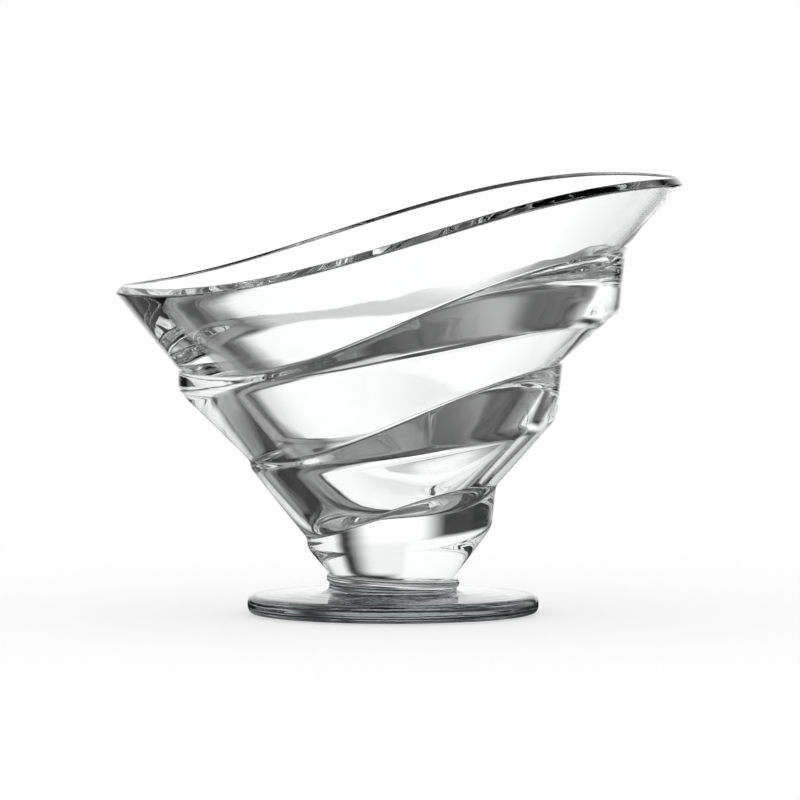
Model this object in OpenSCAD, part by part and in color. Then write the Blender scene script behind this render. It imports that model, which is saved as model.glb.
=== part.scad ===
// Parfait glass: a pressed bowl that flares in three leaning steps, fused to a round foot by a thin ring.
// The origin is the middle of the face that the glass stands on. The rim is low towards -X, high towards +X.

/* [Foot] */
// Radius of the foot
foot_r = 34.7; // [28:0.1:42]
// Thickness of the foot at its edge
foot_t = 4.5; // [3:0.1:7]
// How much the top of the foot rises from its edge to the neck
foot_rise = 0.8; // [0:0.1:2]
// Rounding of the foot's edge, at most half its thickness
foot_edge_r = 2.2; // [0.5:0.1:3]

/* [Neck] */
// Radius of the neck
neck_r = 15.2; // [11:0.1:19]
// Height of the neck above the foot, along its axis
neck_h = 1.6; // [1.2:0.1:5]
// Radius of the flare from the neck to the foot
neck_flare_r = 2.2; // [0.5:0.1:4]

/* [Joining ring] */
// Greatest radius of the joining ring
ring_r = 15.8; // [12:0.1:20]
// Height of the joining ring
ring_h = 2.2; // [1:0.1:4]
// How far the joining ring lies out of level, in degrees
ring_tilt = 2.5; // [0:0.1:4]

/* [Base cup] */
// Radius of the bowl where it meets the joining ring, low side
base_r_low = 15.4; // [10:0.1:19]
// Radius of the bowl where it meets the joining ring, high side
base_r_high = 14.4; // [10:0.1:19]
// Outward run of the base cup, low side
cup_run_low = 5; // [2:0.1:9]
// Outward run of the base cup, high side
cup_run_high = 9.2; // [4:0.1:14]
// Height of the base cup, low side
cup_rise_low = 5.8; // [3:0.1:10]
// Height of the base cup, high side
cup_rise_high = 12.2; // [6:0.1:18]

/* [Lower step] */
// Height of the lower step, low side
lower_h_low = 2.3; // [1:0.1:5]
// Height of the lower step, high side
lower_h_high = 10; // [5:0.1:16]
// Outward lean of the lower step, low side
lower_lean_low = 0.1; // [0:0.1:2]
// Outward lean of the lower step, high side
lower_lean_high = 1.2; // [0:0.1:3]

/* [Lower flare] */
// Outward run of the lower flare, low side
lower_run_low = 13.6; // [9:0.1:18]
// Outward run of the lower flare, high side
lower_run_high = 14.4; // [9:0.1:18]
// Height of the lower flare, low side
lower_rise_low = 16.9; // [11:0.1:22]
// Height of the lower flare, high side
lower_rise_high = 15.8; // [11:0.1:22]

/* [Middle step] */
// Height of the middle step, low side
middle_h_low = 1.9; // [1:0.1:5]
// Height of the middle step, high side
middle_h_high = 13.6; // [6:0.1:18]
// Outward lean of the middle step, low side
middle_lean_low = 0.3; // [0:0.1:2]
// Outward lean of the middle step, high side
middle_lean_high = 1.4; // [0:0.1:3]

/* [Upper flare] */
// Outward run of the upper flare, low side
upper_run_low = 16.8; // [12:0.1:22]
// Outward run of the upper flare, high side
upper_run_high = 13.4; // [9:0.1:18]
// Height of the upper flare, low side
upper_rise_low = 16.1; // [12:0.1:24]
// Height of the upper flare, high side
upper_rise_high = 11.4; // [7:0.1:17]

/* [Upper step] */
// Height of the upper step, low side
upper_h_low = 5.3; // [2:0.1:9]
// Height of the upper step, high side
upper_h_high = 15; // [8:0.1:20]
// Outward lean of the upper step, low side
upper_lean_low = 0.1; // [0:0.1:2]
// Outward lean of the upper step, high side
upper_lean_high = 1.5; // [0:0.1:3]

/* [Rim] */
// Outward run of the flare under the rim, low side
rim_run_low = 14.9; // [10:0.1:20]
// Outward run of the flare under the rim, high side
rim_run_high = 13.7; // [9:0.1:18]
// Height of the flare under the rim, low side
rim_rise_low = 18.4; // [12:0.1:24]
// Height of the flare under the rim, high side
rim_rise_high = 15.7; // [10:0.1:21]
// Height of the rim's end, which is square to the slanting wall
rim_h = 2; // [0.6:0.1:3]
// Width of the rim's end, seen from above
rim_t = 1.7; // [1:0.1:3]

/* [Hollow] */
// Distance of the hollow's bend inside the top of the upper step, low side
bend_wall_low = 5.5; // [3.5:0.1:7]
// Distance of the hollow's bend inside the top of the upper step, high side
bend_wall_high = 5; // [3.5:0.1:7]
// Height of the bend above the top of the upper step, low side
bend_up_low = 1.4; // [0:0.1:4]
// Depth of the bend under the top of the upper step, high side
bend_down_high = 2.5; // [0:0.1:4]
// Thickness of the solid base under the hollow, low side
floor_t_low = 12.9; // [8:0.1:16]
// Thickness of the solid base under the hollow, high side
floor_t_high = 16.4; // [10:0.1:19]
// Radius of the floor of the hollow, before it is rounded
floor_r = 13; // [9:0.1:16]

/* [Roundings] */
// Rounding of the lower edge of each step, measured along the faces beside it
step_round = 2.2; // [0.5:0.1:4]
// Rounding of the crease at the top of each step, measured along the faces beside it
crease_round = 0.8; // [0.2:0.1:2]
// Rounding of the rim, measured along the faces beside it
rim_round = 0.5; // [0.2:0.1:1]
// Rounding of the bend in the hollow, measured along its wall
bend_round = 3; // [1:0.1:10]
// Rounding between the floor and the wall of the hollow, measured along both
floor_round = 8; // [2:0.1:12]

/* [Hidden] */
// Lift of each edge half way round, its sweep up towards the high side and down towards the low side, and
// its twist between front and back, as shares of half the height between its two sides
rim_sweep_shares = [0.075, 0.58, 0.04];
upper_top_sweep_shares = [-0.07, 0.64, 0];
upper_bottom_sweep_shares = [0.14, 0.1, 0];
middle_top_sweep_shares = [-0.1, 0.4, 0];
middle_bottom_sweep_shares = [-0.28, -0.12, 0];
lower_top_sweep_shares = [0.24, 0.42, 0];
lower_bottom_sweep_shares = [-0.15, -0.6, 0];
bend_sweep_shares = [-0.12, 0.41, 0];
// Most of a face's length that a rounding takes up at one end
round_reach_share = 0.45;
// How far a cut runs past what it cuts
overrun = 1;

// Flat faces round the bowl
bowl_sides = 84;
// Facets along each kind of rounding
edge_facets = 3;
crease_facets = 2;
bend_facets = 2;
floor_facets = 4;

$fn = 96;

// Heights on the axis of the two faces of the tilted joining ring
neck_top = foot_t + foot_rise + neck_h;
ring_top = neck_top + ring_h / cos(ring_tilt);
tilt_slope = tan(ring_tilt);

// Where the bowl's underside lies on the joining ring
base_z_low = ring_top + base_r_low * tilt_slope;
base_z_high = ring_top - base_r_high * tilt_slope;
base_lift = tilt_slope * (base_r_high - base_r_low) / 2;

// An edge runs once round the bowl: [low radius, high radius, low height, high height, lift, sweep, twist]
function raised(edge, run_low, run_high, rise_low, rise_high, shares) =
    let (z_low = edge[2] + rise_low, z_high = edge[3] + rise_high, half = (z_high - z_low) / 2)
    [edge[0] + run_low, edge[1] + run_high, z_low, z_high, each half * shares];

// Edges of the outside, from the joining ring to the rim
base_edge = [base_r_low, base_r_high, base_z_low, base_z_high, base_lift, 0, 0];
lower_bottom = raised(base_edge, cup_run_low, cup_run_high, cup_rise_low, cup_rise_high,
    lower_bottom_sweep_shares);
lower_top = raised(lower_bottom, lower_lean_low, lower_lean_high, lower_h_low, lower_h_high,
    lower_top_sweep_shares);
middle_bottom = raised(lower_top, lower_run_low, lower_run_high, lower_rise_low, lower_rise_high,
    middle_bottom_sweep_shares);
middle_top = raised(middle_bottom, middle_lean_low, middle_lean_high, middle_h_low, middle_h_high,
    middle_top_sweep_shares);
upper_bottom = raised(middle_top, upper_run_low, upper_run_high, upper_rise_low, upper_rise_high,
    upper_bottom_sweep_shares);
upper_top = raised(upper_bottom, upper_lean_low, upper_lean_high, upper_h_low, upper_h_high,
    upper_top_sweep_shares);
rim_outside = raised(upper_top, rim_run_low, rim_run_high, rim_rise_low, rim_rise_high, rim_sweep_shares);

// Edges of the hollow, from the rim to the floor: its wall bends once, beside the top of the upper step
rim_inside = raised(rim_outside, -rim_t, -rim_t, rim_h, rim_h, rim_sweep_shares);
wall_bend = raised(upper_top, -bend_wall_low, -bend_wall_high, bend_up_low, -bend_down_high,
    bend_sweep_shares);
floor_edge = [floor_r, floor_r, base_z_low + floor_t_low, base_z_high + floor_t_high, 0, 0, 0];
floor_middle = [0, 0, (floor_edge[2] + floor_edge[3]) / 2];

// Corners of the bowl's outline, in order: [edge, rounding, facets]
corners = [
    [lower_bottom, step_round, edge_facets],
    [lower_top, crease_round, crease_facets],
    [middle_bottom, step_round, edge_facets],
    [middle_top, crease_round, crease_facets],
    [upper_bottom, step_round, edge_facets],
    [upper_top, crease_round, crease_facets],
    [rim_outside, rim_round, crease_facets],
    [rim_inside, rim_round, crease_facets],
    [wall_bend, bend_round, bend_facets],
    [floor_edge, floor_round, floor_facets]
];

// Point of an edge at an angle from the high side
function edge_point(edge, turn) =
    let (
        u = cos(turn),
        high_share = (1 + u) / 2,
        r = edge[0] + (edge[1] - edge[0]) * high_share,
        lean = edge[2] + (edge[3] - edge[2]) * high_share,
        wave = (1 - u * u) * (edge[4] + edge[5] * u) - edge[6] * sin(3 * turn)
    )
    [r * cos(turn), r * sin(turn), lean + wave];

// Point on the way from a corner to its neighbour, where the corner's rounding starts
function round_start(corner, neighbour, rounding) =
    let (way = neighbour - corner, reach = min(rounding, norm(way) * round_reach_share))
    corner + way * reach / norm(way);

// Points of a rounded corner between its two neighbours
function rounded_corner(before, corner, after, rounding, facets) =
    let (start = round_start(corner, before, rounding), end = round_start(corner, after, rounding))
    [
        for (i = [0 : facets])
            let (t = i / facets)
            start * (1 - t) ^ 2 + corner * 2 * t * (1 - t) + end * t ^ 2
    ];

// The bowl's outline at an angle from the high side, from the joining ring to the floor of the hollow
function outline(turn) =
    let (
        last = len(corners) - 1,
        at = [for (corner = corners) edge_point(corner[0], turn)],
        start = edge_point(base_edge, turn)
    )
    [
        start,
        for (i = [0 : last])
            each rounded_corner(i == 0 ? start : at[i - 1], at[i], i == last ? floor_middle : at[i + 1],
                corners[i][1], corners[i][2])
    ];

// Places what follows on the tilted joint at the top of the neck
module joint_frame() {
    translate([0, 0, neck_top]) rotate([0, ring_tilt, 0]) children();
}

module bowl() {
    outlines = [for (i = [0 : bowl_sides - 1]) outline(i * 360 / bowl_sides)];
    rows = len(outlines[0]);
    function at(side, row) = (side % bowl_sides) * rows + row;
    color("azure", 0.4)
        polyhedron(
            points = [for (points = outlines) each points],
            faces = [
                [for (i = [0 : bowl_sides - 1]) at(i, 0)],
                [for (i = [bowl_sides - 1 : -1 : 0]) at(i, rows - 1)],
                for (i = [0 : bowl_sides - 1], row = [0 : rows - 2])
                    each [
                        [at(i, row), at(i, row + 1), at(i + 1, row + 1)],
                        [at(i, row), at(i + 1, row + 1), at(i + 1, row)]
                    ]
            ]
        );
}

module joining_ring() {
    edge_r = ring_h / 2;
    color("lightcyan", 0.4)
        joint_frame()
            rotate_extrude() {
                square([ring_r - edge_r, ring_h]);
                translate([ring_r - edge_r, edge_r]) circle(edge_r);
            }
}

module foot() {
    edge_r = min(foot_edge_r, foot_t / 2);
    edge_start = foot_r - edge_r;
    flare_r = neck_r + neck_flare_r;
    flare_z = foot_t + foot_rise * (edge_start - flare_r) / (edge_start - neck_r);
    neck_reach = neck_top + neck_r * tilt_slope + overrun;
    color("aliceblue", 0.4)
        difference() {
            rotate_extrude() {
                polygon([
                    [0, 0], [edge_start, 0], [edge_start, foot_t], [neck_r, foot_t + foot_rise],
                    [neck_r, neck_reach], [0, neck_reach]
                ]);
                if (foot_t > 2 * edge_r) translate([0, edge_r]) square([foot_r, foot_t - 2 * edge_r]);
                for (z = [edge_r, foot_t - edge_r]) translate([edge_start, z]) circle(edge_r);
                difference() {
                    square([flare_r, flare_z + neck_flare_r]);
                    translate([flare_r, flare_z + neck_flare_r]) circle(neck_flare_r);
                }
            }
            joint_frame() cylinder(r = flare_r + overrun, h = neck_reach);
        }
}

bowl();
joining_ring();
foot();
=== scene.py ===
import math
from collections import namedtuple

import bpy
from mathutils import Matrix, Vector


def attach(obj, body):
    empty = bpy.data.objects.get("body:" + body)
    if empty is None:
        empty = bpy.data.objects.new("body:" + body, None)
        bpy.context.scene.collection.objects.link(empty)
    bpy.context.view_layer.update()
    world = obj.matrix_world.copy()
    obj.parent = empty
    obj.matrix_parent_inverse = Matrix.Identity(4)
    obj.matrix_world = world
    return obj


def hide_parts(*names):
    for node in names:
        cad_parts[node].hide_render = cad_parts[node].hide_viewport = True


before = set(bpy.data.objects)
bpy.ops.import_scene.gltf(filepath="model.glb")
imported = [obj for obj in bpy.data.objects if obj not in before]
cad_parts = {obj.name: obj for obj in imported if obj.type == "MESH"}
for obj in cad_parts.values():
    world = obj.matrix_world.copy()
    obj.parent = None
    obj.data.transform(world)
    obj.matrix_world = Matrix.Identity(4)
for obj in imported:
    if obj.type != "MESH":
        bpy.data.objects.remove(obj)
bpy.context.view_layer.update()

scene = bpy.context.scene
MM = 0.001
DEGREES = 180 / math.pi


# Wires: node sockets that take arithmetic

class Wire:
    """A node socket. Arithmetic on it adds Math nodes to its tree, and node() adds any other node."""

    def __init__(self, tree, socket=None):
        self.tree = tree
        self.socket = socket

    def node(self, kind, settings=None, sockets=None, out=0):
        made = self.tree.nodes.new(kind)
        for name, value in (settings or {}).items():
            setattr(made, name, value)
        for name, value in (sockets or {}).items():
            if isinstance(value, Wire):
                self.tree.links.new(value.socket, made.inputs[name])
            else:
                made.inputs[name].default_value = value
        return Wire(self.tree, made.outputs[out] if len(made.outputs) else None)

    def math(self, operation, *others):
        """A Math node on this number and the others, in that order."""
        return self.node("ShaderNodeMath", {"operation": operation}, dict(enumerate((self, *others))))

    def math_after(self, operation, first):
        """A Math node on another number and then this one."""
        return self.node("ShaderNodeMath", {"operation": operation}, {0: first, 1: self})

    def __add__(self, other):
        return self.math("ADD", other)

    __radd__ = __add__

    def __sub__(self, other):
        return self.math("SUBTRACT", other)

    def __rsub__(self, other):
        return self.math_after("SUBTRACT", other)

    def __mul__(self, other):
        return self.math("MULTIPLY", other)

    def __truediv__(self, other):
        return self.math("DIVIDE", other)

    def __rtruediv__(self, other):
        return self.math_after("DIVIDE", other)

    def __neg__(self):
        return self.math("MULTIPLY", -1)

    def at_most(self, other):
        return self.math("MINIMUM", other)

    def at_least(self, other):
        return self.math("MAXIMUM", other)

    def step(self, low, high):
        """0 below low, 1 above high, smooth between them."""
        return self.node(
            "ShaderNodeMapRange",
            {"interpolation_type": "SMOOTHSTEP"},
            {"Value": self, "From Min": low, "From Max": high},
        )

    def apart(self):
        """The three numbers of a vector."""
        split = self.tree.nodes.new("ShaderNodeSeparateXYZ")
        self.tree.links.new(self.socket, split.inputs[0])
        return [Wire(self.tree, socket) for socket in split.outputs]


def length(x, y):
    return (x * x + y * y).math("SQRT")


# Sizes, in millimetres

FOOT_R = 34.7
FOOT_T = 4.5
FOOT_RISE = 0.8
NECK_R = 15.2
NECK_H = 1.6
RING_R = 15.8
RING_H = 2.2
TILT = math.radians(2.5)
SEAM_R = 14.2

# Edges of the bowl, from the one they rise from: runs outwards and rises, on the low and the high side,
# then lift, sweep and twist as shares of half the height between the sides
BASE_RADII = (15.4, 14.4)
CUP = (5, 9.2), (5.8, 12.2), (-0.15, -0.6, 0)
LOWER_STEP = (0.1, 1.2), (2.3, 10), (0.24, 0.42, 0)
LOWER_FLARE = (13.6, 14.4), (16.9, 15.8), (-0.28, -0.12, 0)
MIDDLE_STEP = (0.3, 1.4), (1.9, 13.6), (-0.1, 0.4, 0)
MIDDLE_FLARE = (16.8, 13.4), (16.1, 11.4), (0.14, 0.1, 0)
UPPER_STEP = (0.1, 1.5), (5.3, 15), (-0.07, 0.64, 0)
RIM_SHARES = (0.075, 0.58, 0.04)
UPPER_FLARE = (14.9, 13.7), (18.4, 15.7), RIM_SHARES
RIM_H = 2
RIM_T = 1.7
RIM_FACE = (-RIM_T, -RIM_T), (RIM_H, RIM_H), RIM_SHARES
HOLLOW_BEND = (-5.5, -5), (1.4, -2.5), (-0.12, 0.41, 0)
FLOOR_R = 13
FLOOR_T = (12.9, 16.4)

# Roundings, as lengths of the faces beside an edge that they take up, and the facets round them
FOOT_ROUND = 2.2
NECK_FLARE = 2.4
STEP_ROUND = 2.2
CREASE_ROUND = 0.8
RIM_ROUND = 0.5
BEND_ROUND = 3
FLOOR_ROUND = 8
FACETS = 12
BEND_FACETS = 10
FINE_FACETS = 8

# Largest share of a face that a rounding takes up, and the share left beyond it
REACH = 0.45
NECK_REACH = 0.9
SPARE = 0.05

# Rows of points on each straight run
STRAIGHT = 4
FOOT_STRAIGHT = 24

NECK_TOP = FOOT_T + FOOT_RISE + NECK_H
RING_TOP = NECK_TOP + RING_H / math.cos(TILT)


# Outlines: the corners of each piece, from the axis at its underside round to the axis at its last face

WAVES = ("lift", "sweep", "twist")
Corner = namedtuple("Corner", "edge rounding facets reach", defaults=(0, 0, REACH))


class Edge:
    """A line once round a piece, between its low side (-X) and its high side (+X)."""

    def __init__(self, radii, heights, *waves):
        self.radii = radii
        self.heights = heights
        self.waves = [*waves, 0, 0, 0][:len(WAVES)]

    def raised(self, runs, rises, shares):
        radii = [r + run for r, run in zip(self.radii, runs)]
        heights = [z + rise for z, rise in zip(self.heights, rises)]
        half = (heights[1] - heights[0]) / 2
        return Edge(radii, heights, *[half * share for share in shares])

    def numbers(self):
        return [*self.radii, *self.heights, *self.waves]


def tilted(radii, height):
    """An edge that lies out of level as the joining ring does."""
    slope = math.tan(TILT)
    heights = (height + radii[0] * slope, height - radii[1] * slope)
    return Edge(radii, heights, slope * (radii[1] - radii[0]) / 2)


def tilted_circle(radius, height):
    return tilted((radius, radius), height)


def level(radius, height):
    return Edge((radius, radius), (height, height))


def bowl_corners():
    base = tilted(BASE_RADII, RING_TOP)
    lower_bottom = base.raised(*CUP)
    lower_top = lower_bottom.raised(*LOWER_STEP)
    middle_bottom = lower_top.raised(*LOWER_FLARE)
    middle_top = middle_bottom.raised(*MIDDLE_STEP)
    upper_bottom = middle_top.raised(*MIDDLE_FLARE)
    upper_top = upper_bottom.raised(*UPPER_STEP)
    rim_outside = upper_top.raised(*UPPER_FLARE)
    rim_inside = rim_outside.raised(*RIM_FACE)
    wall_bend = upper_top.raised(*HOLLOW_BEND)
    floor = Edge((FLOOR_R, FLOOR_R), [z + t for z, t in zip(base.heights, FLOOR_T)])
    return [
        Corner(tilted_circle(0, RING_TOP)),
        Corner(tilted_circle(SEAM_R, RING_TOP)),
        Corner(base),
        Corner(lower_bottom, STEP_ROUND, FACETS),
        Corner(lower_top, CREASE_ROUND, FINE_FACETS),
        Corner(middle_bottom, STEP_ROUND, FACETS),
        Corner(middle_top, CREASE_ROUND, FINE_FACETS),
        Corner(upper_bottom, STEP_ROUND, FACETS),
        Corner(upper_top, CREASE_ROUND, FINE_FACETS),
        Corner(rim_outside, RIM_ROUND, FINE_FACETS),
        Corner(rim_inside, RIM_ROUND, FINE_FACETS),
        Corner(wall_bend, BEND_ROUND, BEND_FACETS),
        Corner(floor, FLOOR_ROUND, FACETS),
        Corner(level(0, sum(floor.heights) / 2)),
    ]


def ring_corners():
    return [
        Corner(tilted_circle(0, NECK_TOP)),
        Corner(tilted_circle(SEAM_R, NECK_TOP)),
        Corner(tilted_circle(RING_R, NECK_TOP), RING_H / 2, FACETS),
        Corner(tilted_circle(RING_R, RING_TOP), RING_H / 2, FACETS),
        Corner(tilted_circle(SEAM_R, RING_TOP)),
        Corner(tilted_circle(0, RING_TOP)),
    ]


def foot_corners():
    return [
        Corner(level(0, 0)),
        Corner(level(FOOT_R, 0), FOOT_ROUND, FACETS),
        Corner(level(FOOT_R, FOOT_T), FOOT_ROUND, FACETS),
        Corner(level(NECK_R, FOOT_T + FOOT_RISE), NECK_FLARE, FACETS, NECK_REACH),
        Corner(tilted_circle(NECK_R, NECK_TOP)),
        Corner(tilted_circle(SEAM_R, NECK_TOP)),
        Corner(tilted_circle(0, NECK_TOP)),
    ]


# Rows: one line of numbers for each row of points of a piece, from its corners

SIDES = ("before", "corner", "after")
EDGE_NUMBERS = ("r_low", "r_high", "z_low", "z_high", *WAVES)
ROW_NUMBERS = ("rounding", "reach", "run_in", "bend", "run_out", "share_in", "share_out", "seam")


def outline_rows(corners, straight, seam_first=False, seam_last=False):
    """Rows along an outline: each corner's bend, with straight runs that meet its neighbours' runs.

    The rows of the first or the last face are marked as a seam where a piece is fused there.
    """
    rows = []
    last = len(corners) - 2
    for i in range(1, last + 1):
        _, rounding, facets, reach = corners[i]
        numbers = [n for corner in corners[i - 1:i + 2] for n in corner.edge.numbers()]
        share_in = 1 if i == 1 else 1 - corners[i - 1].reach - SPARE
        share_out = 1 if i == last else reach + SPARE
        end = straight + 1 if i == last else straight
        places = [(k / straight, 0, 0) for k in range(straight)]
        places += [(1, k / facets, 0) for k in range(facets + 1)] if facets else [(1, 0, 0)]
        places += [(1, 1, k / straight) for k in range(1, end)]
        for run_in, bend, run_out in places:
            seam = (seam_first and i == 1 and run_out == 0) or (seam_last and i == last and run_in == 1)
            rows.append([
                *numbers, rounding, reach, run_in, bend, run_out, share_in, share_out, float(seam),
            ])
    return rows


# Pressing: geometry nodes that make a piece from its rows

TREE_INPUTS = (
    ("Rows", "Geometry"), ("Sides", "Int"), ("Wave Depth", "Float"), ("Wave Length", "Float"),
    ("Ring Stretch", "Float"), ("Seed", "Float"), ("Glass", "Material"), ("Seam", "Material"),
)
TWIST_WAVES = 3
SHORTEST = 1e-6
MERGE_WITHIN = 0.002 * MM
SHARP_ANGLE = 0.6
WHOLLY_SEAM = 0.99
WAVE_DETAIL = 1.0
WAVE_ROUGHNESS = 0.4


def greater(value, limit):
    settings = {"data_type": "FLOAT", "operation": "GREATER_THAN"}
    return value.node("FunctionNodeCompare", settings, {0: value, 1: limit})


def pressed_tree():
    """Geometry nodes that press a piece of glass from its rows of numbers."""
    tree = bpy.data.node_groups.new("pressed_glass", "GeometryNodeTree")
    for name, kind in TREE_INPUTS:
        tree.interface.new_socket(name, in_out="INPUT", socket_type="NodeSocket" + kind)
    tree.interface.new_socket("Piece", in_out="OUTPUT", socket_type="NodeSocketGeometry")
    start = Wire(tree)
    inputs = tree.nodes.new("NodeGroupInput").outputs
    given = {socket.name: Wire(tree, socket) for socket in inputs if socket.name}

    def attribute(name):
        return start.node("GeometryNodeInputNamedAttribute", {"data_type": "FLOAT"}, {"Name": name})

    # A grid with one row of points for each row of numbers, and one column for each side
    rows = start.node("GeometryNodeAttributeDomainSize", {"component": "MESH"}, {0: given["Rows"]})
    sides = given["Sides"]
    grid = start.node("GeometryNodeMeshGrid", {}, {
        "Size X": sides, "Size Y": rows - 1, "Vertices X": sides + 1, "Vertices Y": rows,
    })
    x, y, _ = start.node("GeometryNodeInputPosition").apart()
    row = (y + (rows - 1) / 2).math("ROUND")
    turn = (x / sides + 0.5) * (2 * math.pi)
    u = turn.math("COSINE")
    v = turn.math("SINE")
    high = (1 + u) / 2

    def sampled(name):
        return start.node("GeometryNodeSampleIndex", {"data_type": "FLOAT"}, {
            "Geometry": given["Rows"], "Value": attribute(name), "Index": row,
        })

    def place(side):
        """Radius and height of an edge at this turn."""
        edge = {name: sampled(f"{side}_{name}") for name in EDGE_NUMBERS}
        radius = edge["r_low"] + (edge["r_high"] - edge["r_low"]) * high
        height = edge["z_low"] + (edge["z_high"] - edge["z_low"]) * high
        twist = edge["twist"] * (turn * TWIST_WAVES).math("SINE")
        return radius, height + ((1 - u * u) * (edge["lift"] + edge["sweep"] * u) - twist)

    before, corner, after = [place(side) for side in SIDES]
    n = {name: sampled(name) for name in ROW_NUMBERS}

    def rounded_share(neighbour):
        """Share of the way to a neighbour at which the corner's rounding starts."""
        way = length(*[a - b for a, b in zip(neighbour, corner)]).at_least(SHORTEST)
        return (n["rounding"] / way).at_most(n["reach"])

    # Each point lies on the run in, on the bend, or on the run out of its corner
    share_in = rounded_share(before)
    share_out = rounded_share(after)
    t = n["bend"]
    point = []
    for p, c, q in zip(before, corner, after):
        first = c + (p - c) * share_in
        end = c + (q - c) * share_out
        half_in = c + (p - c) * n["share_in"]
        half_out = c + (q - c) * n["share_out"]
        bend = first * (1 - t) * (1 - t) + c * 2 * t * (1 - t) + end * t * t
        run_in = half_in + (first - half_in) * n["run_in"]
        point.append(run_in + bend - first + (half_out - end) * n["run_out"])
    r, z = point
    where = start.node("ShaderNodeCombineXYZ", {}, {0: r * u * MM, 1: r * v * MM, 2: z * MM})
    marked = start.node(
        "GeometryNodeStoreNamedAttribute", {"data_type": "FLOAT", "domain": "POINT"},
        {"Geometry": grid, "Name": "seam", "Value": n["seam"]},
    )
    pressed = start.node("GeometryNodeSetPosition", {}, {"Geometry": marked, "Position": where})
    joined = start.node("GeometryNodeMergeByDistance", {}, {
        "Geometry": pressed, "Distance": MERGE_WITHIN,
    })

    # Slight hollows in the surface, everywhere but at the seams
    fused = attribute("seam")
    x, y, z = start.node("GeometryNodeInputPosition").apart()
    along = start.node("ShaderNodeCombineXYZ", {}, {
        0: x / given["Ring Stretch"], 1: y / given["Ring Stretch"], 2: z + length(x, y),
    })
    waves = start.node("ShaderNodeTexNoise", {"noise_dimensions": "4D"}, {
        "Vector": along, "W": given["Seed"], "Scale": 1 / given["Wave Length"],
        "Detail": WAVE_DETAIL, "Roughness": WAVE_ROUGHNESS,
    })
    dent = waves.at_most(1) * given["Wave Depth"] * (1 - fused)
    inward = start.node("ShaderNodeVectorMath", {"operation": "SCALE"}, {
        0: start.node("GeometryNodeInputNormal"), "Scale": -dent,
    })
    waved = start.node("GeometryNodeSetPosition", {}, {"Geometry": joined, "Offset": inward})

    # Smooth faces, sharp edges and materials
    smooth = start.node("GeometryNodeSetShadeSmooth", {"domain": "FACE"}, {"Geometry": waved})
    sharp = greater(start.node("GeometryNodeInputMeshEdgeAngle"), SHARP_ANGLE)
    edged = start.node("GeometryNodeSetShadeSmooth", {"domain": "EDGE"}, {
        "Geometry": smooth, "Selection": sharp, "Shade Smooth": False,
    })
    real = start.node("GeometryNodeRealizeInstances", {}, {0: edged})
    glass = start.node("GeometryNodeSetMaterial", {}, {"Geometry": real, "Material": given["Glass"]})
    done = start.node("GeometryNodeSetMaterial", {}, {
        "Geometry": glass, "Selection": greater(fused, WHOLLY_SEAM), "Material": given["Seam"],
    })
    start.node("NodeGroupOutput", {}, {"Piece": done})
    return tree


def pressed_piece(name, tree, rows, settings):
    """A plain mesh of one piece, made by the tree."""
    maker_mesh = bpy.data.meshes.new(name + "_rows")
    maker_mesh.from_pydata([(0, 0, 0)] * len(rows), [], [])
    names = [f"{side}_{number}" for side in SIDES for number in EDGE_NUMBERS] + list(ROW_NUMBERS)
    for i, number in enumerate(names):
        column = maker_mesh.attributes.new(number, "FLOAT", "POINT")
        column.data.foreach_set("value", [row[i] for row in rows])
    maker = bpy.data.objects.new(name + "_maker", maker_mesh)
    scene.collection.objects.link(maker)
    press = maker.modifiers.new("press", "NODES")
    press.node_group = tree
    for item in tree.interface.items_tree:
        if item.in_out == "INPUT" and item.name in settings:
            press[item.identifier] = settings[item.name]
    evaluated = maker.evaluated_get(bpy.context.evaluated_depsgraph_get())
    mesh = bpy.data.meshes.new_from_object(evaluated)
    mesh.name = name
    mesh.materials.pop(index=0)  # the grid's own empty slot
    bpy.data.objects.remove(maker)
    piece = bpy.data.objects.new(name, mesh)
    scene.collection.objects.link(piece)
    return piece


# Materials

GLASS_IOR = 1.52
CLEAR = (0.995, 0.997, 0.997, 1)
SEAM_TINT = (0.98, 0.985, 0.985, 1)
BODY_TINT = (0.3, 0.36, 0.36, 1)
WHITE = (1, 1, 1, 1)
CLOUD_SCALE = 28.0
SEAM_CLOUD_SCALE = 60.0
SMEAR_SCALE = 160.0
SMEAR_DETAIL = 3.0
SMEARED = (0.55, 0.8)


def cleared(block):
    """The first wire of a material or a world, with its nodes cleared."""
    block.use_nodes = True
    block.node_tree.nodes.clear()
    return Wire(block.node_tree)


def noise(spot, scale, detail=2.0):
    return spot.node("ShaderNodeTexNoise", {}, {"Vector": spot, "Scale": scale, "Detail": detail})


def blend(factor, first, second):
    """A colour between two others, by the colour sockets of a Mix node."""
    return factor.node("ShaderNodeMix", {"data_type": "RGBA"}, {0: factor, 6: first, 7: second}, 2)


def glass_material(name, tint, haze, ripple_scale, ripple_depth, density):
    """Clear pressed glass: a faint tint, a trace of haze, and fine ripples left by the mould."""
    material = bpy.data.materials.new(name)
    start = cleared(material)
    spot = start.node("ShaderNodeTexCoord", {}, {}, "Object")
    bump = start.node("ShaderNodeBump", {}, {
        "Strength": 1.0, "Distance": ripple_depth * MM, "Height": noise(spot, ripple_scale),
    }, "Normal")
    shader = start.node("ShaderNodeBsdfPrincipled", {}, {
        "Base Color": blend(noise(spot, CLOUD_SCALE), tint, CLEAR),
        "Roughness": noise(spot, SMEAR_SCALE, SMEAR_DETAIL).step(*SMEARED) * haze,
        "Normal": bump, "IOR": GLASS_IOR, "Transmission Weight": 1.0,
    })
    body = start.node("ShaderNodeVolumeAbsorption", {}, {"Color": BODY_TINT, "Density": density})
    start.node("ShaderNodeOutputMaterial", {}, {"Surface": shader, "Volume": body})
    return material


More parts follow.
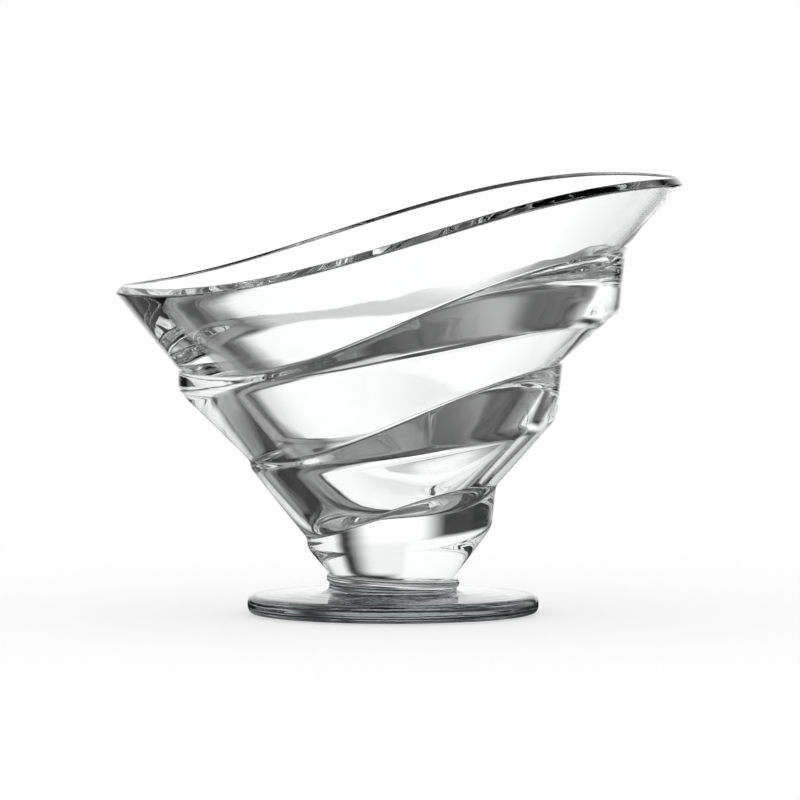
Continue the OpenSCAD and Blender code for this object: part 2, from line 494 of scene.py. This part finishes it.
def seam_material():
    """Where two gathers of glass have run together no surface is left."""
    material = bpy.data.materials.new("fused_seam")
    start = cleared(material)
    spot = start.node("ShaderNodeTexCoord", {}, {}, "Object")
    shader = start.node("ShaderNodeBsdfPrincipled", {}, {
        "Base Color": blend(noise(spot, SEAM_CLOUD_SCALE), SEAM_TINT, CLEAR),
        "Roughness": 0.0, "IOR": GLASS_IOR, "Transmission Weight": 1.0, "Alpha": 0.0,
    })
    start.node("ShaderNodeOutputMaterial", {}, {"Surface": shader})
    return material


bowl_glass = glass_material(
    "clear_bowl_glass", tint=(0.985, 0.99, 0.99, 1), haze=0.02,
    ripple_scale=90.0, ripple_depth=0.02, density=1.0,
)
ring_glass = glass_material(
    "clear_ring_glass", tint=(0.98, 0.985, 0.985, 1), haze=0.02,
    ripple_scale=150.0, ripple_depth=0.02, density=4.0,
)
foot_glass = glass_material(
    "clear_foot_glass", tint=(0.965, 0.975, 0.975, 1), haze=0.05,
    ripple_scale=420.0, ripple_depth=0.05, density=24.0,
)
seam = seam_material()


# Pieces

press_tree = pressed_tree()
bowl_rows = outline_rows(bowl_corners(), STRAIGHT, seam_first=True)
bowl = pressed_piece("glass_bowl", press_tree, bowl_rows, {
    "Sides": 320, "Wave Depth": 0.15 * MM, "Wave Length": 16 * MM, "Ring Stretch": 1.0, "Seed": 3.0,
    "Glass": bowl_glass, "Seam": seam,
})
ring_rows = outline_rows(ring_corners(), STRAIGHT, seam_first=True, seam_last=True)
ring = pressed_piece("glass_joining_ring", press_tree, ring_rows, {
    "Sides": 256, "Wave Depth": 0.03 * MM, "Wave Length": 5 * MM, "Ring Stretch": 2.0, "Seed": 5.0,
    "Glass": ring_glass, "Seam": seam,
})
foot_rows = outline_rows(foot_corners(), FOOT_STRAIGHT, seam_last=True)
foot = pressed_piece("glass_foot", press_tree, foot_rows, {
    "Sides": 320, "Wave Depth": 0.16 * MM, "Wave Length": 3 * MM, "Ring Stretch": 5.0, "Seed": 7.0,
    "Glass": foot_glass, "Seam": seam,
})
for piece, node, slot in (
    (bowl, "bowl", "bowl_glass"), (ring, "joining_ring", "ring_glass"), (foot, "foot", "foot_glass"),
):
    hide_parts(node)
    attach(piece, "root")


# Table and studio. Both are white for the eye, and have light and dark places for what is seen in the glass:
# on the table these are painted shade, grey and dark places that stand in for where it is unlit or shaded by
# the glass, and paler painted light; in the studio they are a dim room with bright panels.
# Directions are degrees round the glass from +X, heights are degrees above level, and distances on the table
# are millimetres from the axis. A place has its middle, the half width that is whole and the half width where
# it has faded out. A fade has its start and its end.

TABLE_R = 0.3
TABLE_RINGS = 6
TABLE_SIDES = 96
TABLE_TOP = -0.2 * MM
TABLE_EDGE = (0.7, 0.98)
EYE_WHITE = 0.4

# Painted shade on the table as seen in the glass: grey near the glass and paler far out, with darker places
# behind and to the right that stand in for where the table is unlit or shaded by the glass. PALER lifts parts
# of that painted shade.
NEAR_TONE = 0.42
FAR_TONE = 0.4
FAR = (110, 230)
PAINTED_SHADE = 0.93
SHADE_BEHIND = (90, 76, 94)
SHADE_BEHIND_FROM = (34, 40)
SHADE_RIGHT = (330, 50, 80)
SHADE_RIGHT_AWAY = (36, 8, 44)
SHADE_RIGHT_SHARE = 0.85
PALER = 0.45
PALER_RIGHT = (58, 18, 26)
PALER_RIGHT_FROM = (150, 240)
PALER_LEFT = (150, 20, 30)
# Painted light on the table as seen in the glass: a pale strip behind the glass, a pale patch, and a paler
# place directly under the foot.
LIGHT_STRIP = (90, 7, 14)
LIGHT_STRIP_TONE = 0.75
LIGHT_STRIP_FROM = (95, 150)
LIGHT_STRIP_END_TONE = 0.4
LIGHT_STRIP_END_FROM = (225, 265)
LIGHT_PATCH = (128, 22, 34)
LIGHT_PATCH_AWAY = (145, 35, 65)
LIGHT_PATCH_TONE = 0.3
BENEATH_TO = (28, 35)
BENEATH_TONE = 0.85

BACK = (88, 9, 25)
BACK_HEIGHT = (2, 22, 40)
BACK_LIGHT = 1.2
BACK_DIMMER = 0.22
BACK_DIMMER_FROM = (-2, 14)
ABOVE = (140, 44, 62)
ABOVE_LIGHT = 1.1
ABOVE_SLANT = 0.2
ABOVE_FROM = (-2, 6)
BEHIND = 90
GROUND_GAP = (BEHIND, 30, 42)
GROUND_TO = (-1, 1)
ROOM_LIGHT = 0.03
PANELS = (  # direction, height and light
    ((205, 34, 54), (-2, 14, 26), 0.9),
    ((26, 28, 38), (18, 13, 22), 1.05),
    ((268, 12, 24), (0, 20, 32), 0.3),
    ((318, 18, 32), (22, 16, 26), 0.6),
)


def within(value, middle, whole, faded):
    """1 at a place, 0 away from it."""
    return 1 - (value - middle).math("ABSOLUTE").step(whole, faded)


def turned(angle, start):
    """Degrees from a starting direction, the shorter way round."""
    return (angle - start).math("WRAP", 180.0, -180.0)


def facing(angle, middle, whole, faded):
    """1 in the directions of a place, 0 in others."""
    return within(turned(angle, middle), 0, whole, faded)


def light_path(start):
    """1 for what the eye sees in or through the glass."""
    path = start.tree.nodes.new("ShaderNodeLightPath")
    names = ("Is Glossy Ray", "Is Transmission Ray", "Diffuse Depth")
    glossy, through, scattered = [Wire(start.tree, path.outputs[name]) for name in names]
    return glossy.at_least(through) * (1 - scattered.at_most(1))


def table_painted_shade_and_light(away, around):
    """Painted shade and painted light on the table at a distance and in a direction, as seen in the glass:
    dark places stand in for shade, pale ones for pools of light.
    """
    far = away.step(*FAR)
    behind = facing(around, *SHADE_BEHIND) * away.step(*SHADE_BEHIND_FROM)
    right = facing(around, *SHADE_RIGHT) * within(away, *SHADE_RIGHT_AWAY) * SHADE_RIGHT_SHARE
    paler_right = facing(around, *PALER_RIGHT) * away.step(*PALER_RIGHT_FROM)
    paler_left = facing(around, *PALER_LEFT) * far
    paler = paler_right.at_least(paler_left) * PALER
    # painted shade behind the glass and to its right, less of it where it is paler
    shaded = behind.at_least(right) * (PAINTED_SHADE - paler)
    # painted light: a pale strip and a pale patch, and a paler place under the foot
    along = away.step(*LIGHT_STRIP_FROM) * LIGHT_STRIP_TONE + away.step(*LIGHT_STRIP_END_FROM) * LIGHT_STRIP_END_TONE
    light_strip = facing(around, *LIGHT_STRIP) * along
    light_patch = facing(around, *LIGHT_PATCH) * within(away, *LIGHT_PATCH_AWAY) * LIGHT_PATCH_TONE
    beneath = (1 - away.step(*BENEATH_TO)) * BENEATH_TONE
    shown = (NEAR_TONE + far * FAR_TONE) * (1 - shaded)
    return shown.at_least(light_strip).at_least(light_patch).at_least(beneath)


def table_material():
    """Pale for the eye, painted with shade and light where it is seen in the glass, and clear towards the
    table's edge.
    """
    material = bpy.data.materials.new("pale_table")
    start = cleared(material)
    x, y, _ = start.node("ShaderNodeTexCoord", {}, {}, "Object").apart()
    away = length(x, y) / MM
    around = y.math("ARCTAN2", x) * DEGREES
    # For the eye the table stays white; in the glass it shows the painted shade and painted light.
    tone = 1 - light_path(start) * (1 - table_painted_shade_and_light(away, around))
    pale = start.node("ShaderNodeBsdfDiffuse", {}, {
        "Color": start.node("ShaderNodeCombineXYZ", {}, {0: tone, 1: tone, 2: tone}),
    })
    white = start.node("ShaderNodeEmission", {}, {"Color": WHITE, "Strength": 1.0})
    seen = start.node("ShaderNodeLightPath", {}, {}, "Is Camera Ray")
    lit = start.node("ShaderNodeMixShader", {}, {0: seen * EYE_WHITE, 1: pale, 2: white})
    clear = start.node("ShaderNodeBsdfTransparent")
    edge = away.step(*[TABLE_R * share / MM for share in TABLE_EDGE])
    shader = start.node("ShaderNodeMixShader", {}, {0: edge, 1: lit, 2: clear})
    start.node("ShaderNodeOutputMaterial", {}, {"Surface": shader})
    return material


def table_top():
    """A round table under the glass."""
    points = [(0, 0, 0)]
    faces = []
    for k in range(1, TABLE_RINGS + 1):
        r = TABLE_R * k / TABLE_RINGS
        for i in range(TABLE_SIDES):
            turn = 2 * math.pi * i / TABLE_SIDES
            points.append((r * math.cos(turn), r * math.sin(turn), 0))
    for i in range(TABLE_SIDES):
        j = (i + 1) % TABLE_SIDES
        faces.append((0, 1 + i, 1 + j))
        for k in range(TABLE_RINGS - 1):
            inner = 1 + k * TABLE_SIDES
            outer = inner + TABLE_SIDES
            faces.append((inner + i, outer + i, outer + j, inner + j))
    mesh = bpy.data.meshes.new("table_top")
    mesh.from_pydata(points, [], faces)
    mesh.materials.append(table_material())
    disc = bpy.data.objects.new("table_top", mesh)
    disc.location.z = TABLE_TOP
    scene.collection.objects.link(disc)


def studio():
    """White all round for the eye. In the glass: a dim room with bright panels and a pale floor."""
    scene.world = bpy.data.worlds.new("studio")
    start = cleared(scene.world)
    x, y, z = start.node("ShaderNodeTexCoord", {}, {}, "Generated").apart()
    height = z.math("ARCSINE") * DEGREES
    around = y.math("ARCTAN2", x) * DEGREES
    back_light = BACK_LIGHT - height.step(*BACK_DIMMER_FROM) * BACK_DIMMER
    back = facing(around, *BACK) * within(height, *BACK_HEIGHT) * back_light
    slant = height - turned(around, BEHIND) * ABOVE_SLANT
    above = facing(around, *ABOVE) * slant.step(*ABOVE_FROM) * ABOVE_LIGHT
    ground = (1 - facing(around, *GROUND_GAP)) * (1 - height.step(*GROUND_TO))
    room = back.at_least(above).at_least(ground).at_least(ROOM_LIGHT)
    for direction, rise, strength in PANELS:
        room = room.at_least(facing(around, *direction) * within(height, *rise) * strength)
    light = 1 + light_path(start) * (room - 1)
    background = start.node("ShaderNodeBackground", {}, {"Color": WHITE, "Strength": light})
    start.node("ShaderNodeOutputWorld", {}, {"Surface": background})


table_top()
studio()


# Camera and light paths

CAMERA_AIM = Vector((1.66, 0, 50.87)) * MM
CAMERA_AWAY = 3.0
CAMERA_HEIGHT = math.radians(3.6)
SENSOR_WIDTH = 36
FOCAL_LENGTH = 567.7
FARTHEST_SEEN = 20
BOUNCES = 14
CLEAR_BOUNCES = 32

towards_eye = Vector((0, -math.cos(CAMERA_HEIGHT), math.sin(CAMERA_HEIGHT)))
lens = bpy.data.cameras.new("camera")
lens.sensor_width = SENSOR_WIDTH
lens.lens = FOCAL_LENGTH
lens.clip_end = FARTHEST_SEEN
camera = bpy.data.objects.new("camera", lens)
camera.location = CAMERA_AIM + towards_eye * CAMERA_AWAY
camera.rotation_euler = (CAMERA_AIM - camera.location).to_track_quat("-Z", "Y").to_euler()
scene.collection.objects.link(camera)
scene.camera = camera

scene.view_settings.view_transform = "Standard"
scene.cycles.max_bounces = BOUNCES
scene.cycles.transmission_bounces = BOUNCES
scene.cycles.glossy_bounces = BOUNCES
scene.cycles.transparent_max_bounces = CLEAR_BOUNCES
